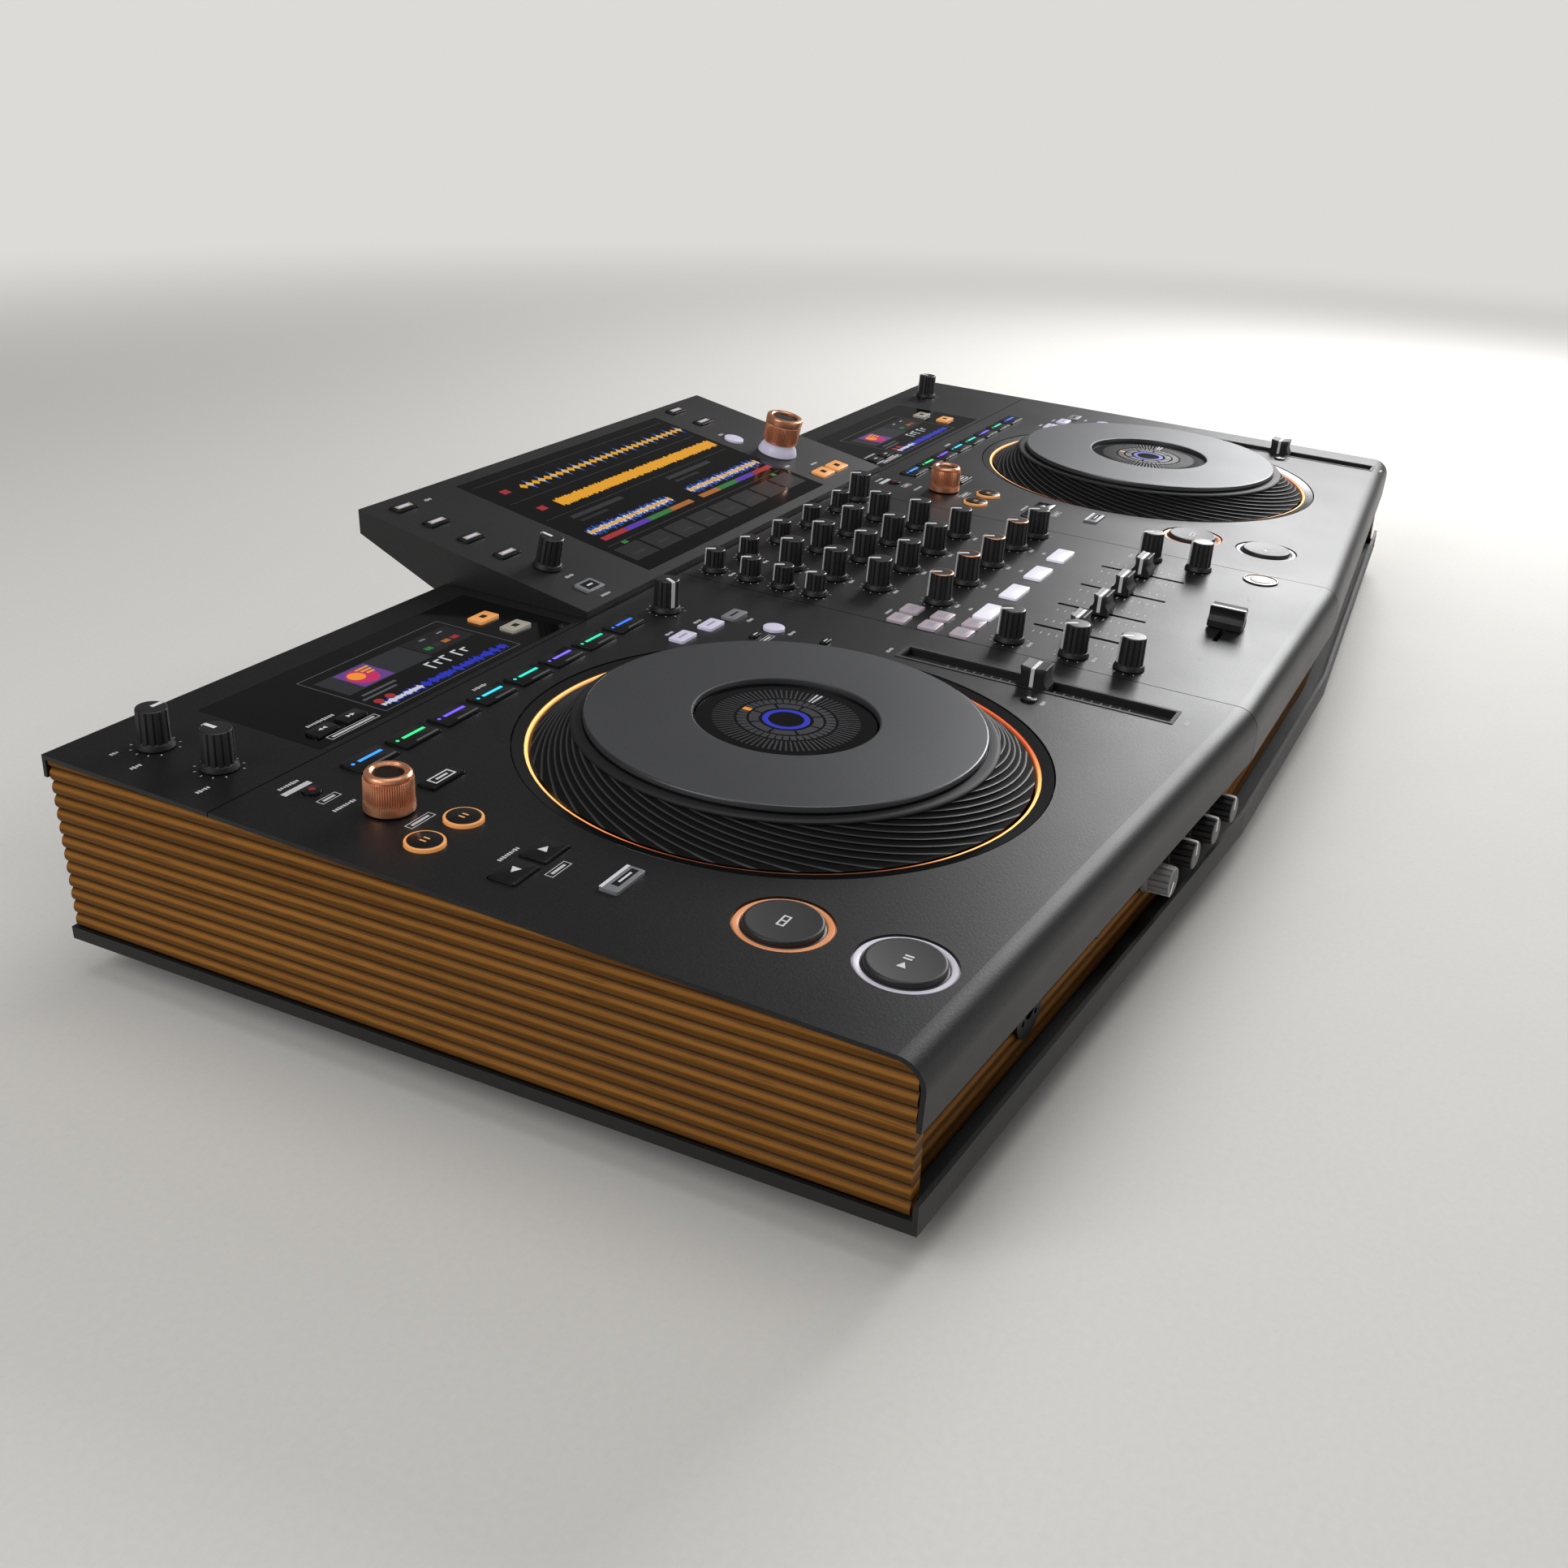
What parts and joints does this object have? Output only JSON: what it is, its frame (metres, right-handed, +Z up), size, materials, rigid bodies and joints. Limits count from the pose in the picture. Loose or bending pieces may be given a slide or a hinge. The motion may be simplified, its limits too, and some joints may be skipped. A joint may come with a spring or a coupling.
{
  "type": "all-in-one dj console",
  "caption": "Wide DJ console with two jog-wheel decks, a knob and fader mixer between them, a tilted touch screen at the rear and ribbed wood-effect sides.",
  "frame": {"origin": "under the middle of the console's box, on the surface the feet stand on", "axes": "+X to the right, +Y to the rear, +Z up, as the player stands in front of it"},
  "size_m": [0.9804, 0.499, 0.1506],
  "materials": {
    "panel_paint": "satin",
    "tray_paint": "satin",
    "ribbed_wood": "satin",
    "housing_plastic": "matte",
    "display_glass": "gloss",
    "light_guide": "lit",
    "board": "matte",
    "control_steel": "satin",
    "socket_plastic": "matte",
    "foot_rubber": "matte",
    "jog_plate": "satin",
    "skirt_plastic": "satin",
    "copper_metal": "satin",
    "key_plastic": "satin",
    "knob_plastic": "matte"
  },
  "bodies": {
    "console": {"bottom_tray": "tray_paint", "left_deck_panel": "panel_paint", "mixer_panel": "panel_paint", "right_deck_panel": "panel_paint", "rear_strips": "panel_paint", "side_trims": "ribbed_wood", "front_trim": "ribbed_wood", "rear_panel": "tray_paint", "screen_housing": "housing_plastic", "display_screens": "display_glass", "jog_housings": "housing_plastic", "light_rings": "light_guide", "circuit_boards": "board", "control_units": "control_steel", "sockets": "socket_plastic", "feet": "foot_rubber", "small_knobs": "knob_plastic"},
    "left_jog": {"left_jog_wheel": "jog_plate", "left_jog_skirt": "skirt_plastic"},
    "left_loop": {"left_loop_knob": "copper_metal"},
    "left_tempo": {"left_tempo_fader": "knob_plastic"},
    "left_cue": {"left_cue_button": "knob_plastic"},
    "left_play": {"left_play_button": "knob_plastic"},
    "left_keys": {"left_keys": "key_plastic"},
    "right_jog": {"right_jog_wheel": "jog_plate", "right_jog_skirt": "skirt_plastic"},
    "right_loop": {"right_loop_knob": "copper_metal"},
    "right_tempo": {"right_tempo_fader": "knob_plastic"},
    "right_cue": {"right_cue_button": "knob_plastic"},
    "right_play": {"right_play_button": "knob_plastic"},
    "right_keys": {"right_keys": "key_plastic"},
    "selector": {"selector_knob": "copper_metal"},
    "mixer_keys": {"mixer_keys": "key_plastic"},
    "screen_keys": {"screen_keys": "key_plastic"},
    "channel_1": {"channel_fader_1": "knob_plastic"},
    "channel_2": {"channel_fader_2": "knob_plastic"},
    "channel_3": {"channel_fader_3": "knob_plastic"},
    "channel_4": {"channel_fader_4": "knob_plastic"},
    "cross": {"crossfader": "knob_plastic"},
    "high_1": {"high_knob_1": "knob_plastic"},
    "high_2": {"high_knob_2": "knob_plastic"},
    "high_3": {"high_knob_3": "knob_plastic"},
    "high_4": {"high_knob_4": "knob_plastic"},
    "mid_1": {"mid_knob_1": "knob_plastic"},
    "mid_2": {"mid_knob_2": "knob_plastic"},
    "mid_3": {"mid_knob_3": "knob_plastic"},
    "mid_4": {"mid_knob_4": "knob_plastic"},
    "low_1": {"low_knob_1": "knob_plastic"},
    "low_2": {"low_knob_2": "knob_plastic"},
    "low_3": {"low_knob_3": "knob_plastic"},
    "low_4": {"low_knob_4": "knob_plastic"},
    "filter_1": {"filter_knob_1": "knob_plastic"},
    "filter_2": {"filter_knob_2": "knob_plastic"},
    "filter_3": {"filter_knob_3": "knob_plastic"},
    "filter_4": {"filter_knob_4": "knob_plastic"},
    "rear_1": {"rear_knob_1": "knob_plastic"},
    "rear_2": {"rear_knob_2": "knob_plastic"},
    "column_1": {"column_knob_1": "knob_plastic"},
    "column_2": {"column_knob_2": "knob_plastic"},
    "column_3": {"column_knob_3": "knob_plastic"}
  },
  "joints": [
    {"name": "left_jog_turn", "type": "hinge", "parent": "console", "child": "left_jog", "pos_m": [-0.29425, -0.06767, 0.09679], "axis": [0, -0.0464, 0.9989], "continuous": true},
    {"name": "left_loop_turn", "type": "hinge", "parent": "console", "child": "left_loop", "pos_m": [-0.44625, 0.03722, 0.10167], "axis": [0, -0.0464, 0.9989], "continuous": true},
    {"name": "left_tempo_slide", "type": "slide", "parent": "console", "child": "left_tempo", "axis": [0, 0.9989, 0.0464], "range_m": [-0.05, 0.05]},
    {"name": "left_cue_press", "type": "slide", "parent": "console", "child": "left_cue", "axis": [0, 0.0464, -0.9989], "range_m": [0, 0.002], "stiffness_N_per_m": 400, "springref_m": -0.001},
    {"name": "left_play_press", "type": "slide", "parent": "console", "child": "left_play", "axis": [0, 0.0464, -0.9989], "range_m": [0, 0.002], "stiffness_N_per_m": 400, "springref_m": -0.001},
    {"name": "left_keys_press", "type": "slide", "parent": "console", "child": "left_keys", "axis": [0, 0.0464, -0.9989], "range_m": [0, 0.001], "stiffness_N_per_m": 800, "springref_m": -0.001},
    {"name": "right_jog_turn", "type": "hinge", "parent": "console", "child": "right_jog", "pos_m": [0.311, -0.06767, 0.09679], "axis": [0, -0.0464, 0.9989], "continuous": true},
    {"name": "right_loop_turn", "type": "hinge", "parent": "console", "child": "right_loop", "pos_m": [0.159, 0.03722, 0.10167], "axis": [0, -0.0464, 0.9989], "continuous": true},
    {"name": "right_tempo_slide", "type": "slide", "parent": "console", "child": "right_tempo", "axis": [0, 0.9989, 0.0464], "range_m": [-0.05, 0.05]},
    {"name": "right_cue_press", "type": "slide", "parent": "console", "child": "right_cue", "axis": [0, 0.0464, -0.9989], "range_m": [0, 0.002], "stiffness_N_per_m": 400, "springref_m": -0.001},
    {"name": "right_play_press", "type": "slide", "parent": "console", "child": "right_play", "axis": [0, 0.0464, -0.9989], "range_m": [0, 0.002], "stiffness_N_per_m": 400, "springref_m": -0.001},
    {"name": "right_keys_press", "type": "slide", "parent": "console", "child": "right_keys", "axis": [0, 0.0464, -0.9989], "range_m": [0, 0.001], "stiffness_N_per_m": 800, "springref_m": -0.001},
    {"name": "selector_turn", "type": "hinge", "parent": "console", "child": "selector", "pos_m": [0.121, 0.1526, 0.12109], "axis": [0, -0.213, 0.977], "continuous": true},
    {"name": "mixer_keys_press", "type": "slide", "parent": "console", "child": "mixer_keys", "axis": [0, 0.0464, -0.9989], "range_m": [0, 0.001], "stiffness_N_per_m": 600, "springref_m": -0.001},
    {"name": "screen_keys_press", "type": "slide", "parent": "console", "child": "screen_keys", "axis": [0, 0.213, -0.977], "range_m": [0, 0.001], "stiffness_N_per_m": 600, "springref_m": -0.001},
    {"name": "channel_fader_1_slide", "type": "slide", "parent": "console", "child": "channel_1", "axis": [0, 0.9989, 0.0464], "range_m": [-0.0225, 0.0225]},
    {"name": "channel_fader_2_slide", "type": "slide", "parent": "console", "child": "channel_2", "axis": [0, 0.9989, 0.0464], "range_m": [-0.0225, 0.0225]},
    {"name": "channel_fader_3_slide", "type": "slide", "parent": "console", "child": "channel_3", "axis": [0, 0.9989, 0.0464], "range_m": [-0.0225, 0.0225]},
    {"name": "channel_fader_4_slide", "type": "slide", "parent": "console", "child": "channel_4", "axis": [0, 0.9989, 0.0464], "range_m": [-0.0225, 0.0225]},
    {"name": "crossfader_slide", "type": "slide", "parent": "console", "child": "cross", "axis": [1, 0, 0], "range_m": [-0.0225, 0.0225]},
    {"name": "high_1_turn", "type": "hinge", "parent": "console", "child": "high_1", "pos_m": [-0.0645, 0.04621, 0.10208], "axis": [0, -0.0464, 0.9989], "range_deg": [-150, 150]},
    {"name": "high_2_turn", "type": "hinge", "parent": "console", "child": "high_2", "pos_m": [-0.0215, 0.04621, 0.10208], "axis": [0, -0.0464, 0.9989], "range_deg": [-150, 150]},
    {"name": "high_3_turn", "type": "hinge", "parent": "console", "child": "high_3", "pos_m": [0.0215, 0.04621, 0.10208], "axis": [0, -0.0464, 0.9989], "range_deg": [-150, 150]},
    {"name": "high_4_turn", "type": "hinge", "parent": "console", "child": "high_4", "pos_m": [0.0645, 0.04621, 0.10208], "axis": [0, -0.0464, 0.9989], "range_deg": [-150, 150]},
    {"name": "mid_1_turn", "type": "hinge", "parent": "console", "child": "mid_1", "pos_m": [-0.0645, 0.01724, 0.10074], "axis": [0, -0.0464, 0.9989], "range_deg": [-150, 150]},
    {"name": "mid_2_turn", "type": "hinge", "parent": "console", "child": "mid_2", "pos_m": [-0.0215, 0.01724, 0.10074], "axis": [0, -0.0464, 0.9989], "range_deg": [-150, 150]},
    {"name": "mid_3_turn", "type": "hinge", "parent": "console", "child": "mid_3", "pos_m": [0.0215, 0.01724, 0.10074], "axis": [0, -0.0464, 0.9989], "range_deg": [-150, 150]},
    {"name": "mid_4_turn", "type": "hinge", "parent": "console", "child": "mid_4", "pos_m": [0.0645, 0.01724, 0.10074], "axis": [0, -0.0464, 0.9989], "range_deg": [-150, 150]},
    {"name": "low_1_turn", "type": "hinge", "parent": "console", "child": "low_1", "pos_m": [-0.0645, -0.01173, 0.09939], "axis": [0, -0.0464, 0.9989], "range_deg": [-150, 150]},
    {"name": "low_2_turn", "type": "hinge", "parent": "console", "child": "low_2", "pos_m": [-0.0215, -0.01173, 0.09939], "axis": [0, -0.0464, 0.9989], "range_deg": [-150, 150]},
    {"name": "low_3_turn", "type": "hinge", "parent": "console", "child": "low_3", "pos_m": [0.0215, -0.01173, 0.09939], "axis": [0, -0.0464, 0.9989], "range_deg": [-150, 150]},
    {"name": "low_4_turn", "type": "hinge", "parent": "console", "child": "low_4", "pos_m": [0.0645, -0.01173, 0.09939], "axis": [0, -0.0464, 0.9989], "range_deg": [-150, 150]},
    {"name": "filter_1_turn", "type": "hinge", "parent": "console", "child": "filter_1", "pos_m": [-0.0645, -0.05069, 0.09758], "axis": [0, -0.0464, 0.9989], "range_deg": [-150, 150]},
    {"name": "filter_2_turn", "type": "hinge", "parent": "console", "child": "filter_2", "pos_m": [-0.0215, -0.05069, 0.09758], "axis": [0, -0.0464, 0.9989], "range_deg": [-150, 150]},
    {"name": "filter_3_turn", "type": "hinge", "parent": "console", "child": "filter_3", "pos_m": [0.0215, -0.05069, 0.09758], "axis": [0, -0.0464, 0.9989], "range_deg": [-150, 150]},
    {"name": "filter_4_turn", "type": "hinge", "parent": "console", "child": "filter_4", "pos_m": [0.0645, -0.05069, 0.09758], "axis": [0, -0.0464, 0.9989], "range_deg": [-150, 150]},
    {"name": "rear_1_turn", "type": "hinge", "parent": "console", "child": "rear_1", "pos_m": [-0.45675, 0.12013, 0.10552], "axis": [0, -0.0464, 0.9989], "range_deg": [-150, 150]},
    {"name": "rear_2_turn", "type": "hinge", "parent": "console", "child": "rear_2", "pos_m": [-0.45675, 0.15709, 0.10723], "axis": [0, -0.0464, 0.9989], "range_deg": [-150, 150]},
    {"name": "column_1_turn", "type": "hinge", "parent": "console", "child": "column_1", "pos_m": [-0.098, -0.10662, 0.09498], "axis": [0, -0.0464, 0.9989], "range_deg": [-150, 150]},
    {"name": "column_2_turn", "type": "hinge", "parent": "console", "child": "column_2", "pos_m": [-0.098, -0.14358, 0.09327], "axis": [0, -0.0464, 0.9989], "range_deg": [-150, 150]},
    {"name": "column_3_turn", "type": "hinge", "parent": "console", "child": "column_3", "pos_m": [-0.098, -0.17455, 0.09183], "axis": [0, -0.0464, 0.9989], "range_deg": [-150, 150]}
  ]
}
